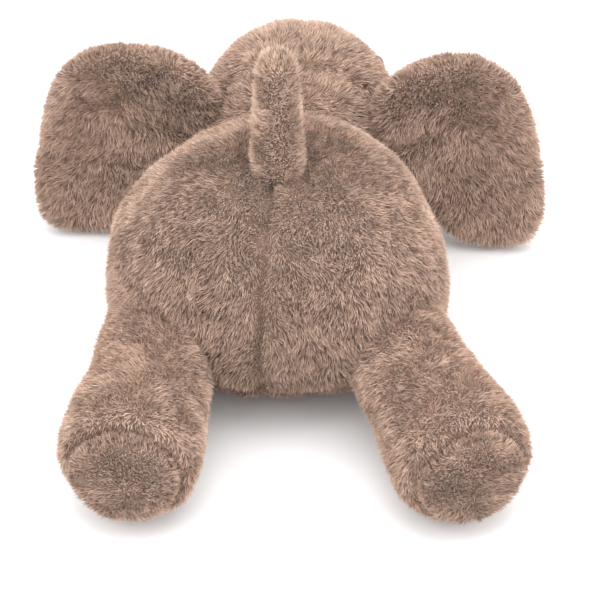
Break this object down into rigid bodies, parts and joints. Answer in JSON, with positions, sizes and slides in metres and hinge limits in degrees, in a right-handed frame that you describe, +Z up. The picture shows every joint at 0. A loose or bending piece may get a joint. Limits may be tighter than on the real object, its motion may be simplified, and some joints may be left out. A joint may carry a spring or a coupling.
{
  "type": "stuffed elephant",
  "caption": "Soft plush elephant lying on its belly with legs stretched out, wide padded ears, an upright tail and a drooping trunk.",
  "frame": {"origin": "bottom centre of the whole toy's box, on the surface it lies on", "axes": "+Y from the rump to the head and trunk, +Z up, +X to the elephant's right"},
  "size_m": [0.2784, 0.3744, 0.1825],
  "materials": {
    "plush": "short dense pile plush, mushroom brown with paler tips",
    "filling": "loose polyester fibre",
    "pouch_cloth": "plain woven cotton",
    "washer_plastic": "moulded, matte",
    "eye_plastic": "polished"
  },
  "bodies": {
    "torso": {"body_left_panel": "plush", "body_right_panel": "plush", "belly_panel": "plush", "body_filling": "filling", "bead_pouch": "pouch_cloth"},
    "head": {"head_left_panel": "plush", "head_right_panel": "plush", "head_back_panel": "plush", "chin_panel": "plush", "head_filling": "filling", "eye_left": "eye_plastic", "eye_right": "eye_plastic", "eye_washer_left": "washer_plastic", "eye_washer_right": "washer_plastic"},
    "trunk": {"trunk_left_panel": "plush", "trunk_right_panel": "plush", "trunk_filling": "filling"},
    "tail": {"tail_left_panel": "plush", "tail_right_panel": "plush", "tail_filling": "filling"},
    "ear_left": {"ear_left_back_cover": "plush", "ear_left_front_cover": "plush", "ear_left_wadding": "filling"},
    "hind_leg_left": {"hind_leg_left_sleeve": "plush", "hind_leg_left_sole": "plush", "hind_leg_left_filling": "filling"},
    "foreleg_left": {"foreleg_left_sleeve": "plush", "foreleg_left_sole": "plush", "foreleg_left_filling": "filling"},
    "ear_right": {"ear_right_back_cover": "plush", "ear_right_front_cover": "plush", "ear_right_wadding": "filling"},
    "hind_leg_right": {"hind_leg_right_sleeve": "plush", "hind_leg_right_sole": "plush", "hind_leg_right_filling": "filling"},
    "foreleg_right": {"foreleg_right_sleeve": "plush", "foreleg_right_sole": "plush", "foreleg_right_filling": "filling"}
  },
  "joints": [
    {"name": "head_turn", "type": "hinge", "parent": "torso", "child": "head", "pos_m": [0.00561, 0.0698, 0.06304], "axis": [0, 0, 1], "range_deg": [-5, 5], "stiffness_Nm_per_rad": 0.2},
    {"name": "trunk_lift", "type": "hinge", "parent": "head", "child": "trunk", "pos_m": [0.00561, 0.1148, 0.04404], "axis": [1, 0, 0], "range_deg": [0, 25], "stiffness_Nm_per_rad": 0.05},
    {"name": "tail_sway", "type": "hinge", "parent": "torso", "child": "tail", "pos_m": [0.00661, -0.0472, 0.12254], "axis": [0, 1, 0], "range_deg": [-35, 35], "stiffness_Nm_per_rad": 0.05},
    {"name": "ear_left_flap", "type": "hinge", "parent": "head", "child": "ear_left", "pos_m": [-0.03839, 0.0528, 0.06004], "axis": [0, 0, 1], "range_deg": [-8, 20], "stiffness_Nm_per_rad": 0.05},
    {"name": "ear_right_flap", "type": "hinge", "parent": "head", "child": "ear_right", "pos_m": [0.04961, 0.0528, 0.06004], "axis": [0, 0, -1], "range_deg": [-8, 20], "stiffness_Nm_per_rad": 0.05},
    {"name": "hind_leg_left_swing", "type": "hinge", "parent": "torso", "child": "hind_leg_left", "pos_m": [-0.04839, -0.0632, 0.03454], "axis": [0, 0, -1], "range_deg": [-4, 36]},
    {"name": "hind_leg_right_swing", "type": "hinge", "parent": "torso", "child": "hind_leg_right", "pos_m": [0.06061, -0.0572, 0.03454], "axis": [0, 0, 1], "range_deg": [-24, 16]},
    {"name": "foreleg_left_swing", "type": "hinge", "parent": "torso", "child": "foreleg_left", "pos_m": [-0.03839, 0.0108, 0.02254], "axis": [0, 0, 1], "range_deg": [-5, 6]},
    {"name": "foreleg_right_swing", "type": "hinge", "parent": "torso", "child": "foreleg_right", "pos_m": [0.04961, 0.0108, 0.02254], "axis": [0, 0, -1], "range_deg": [-4, 6]}
  ]
}
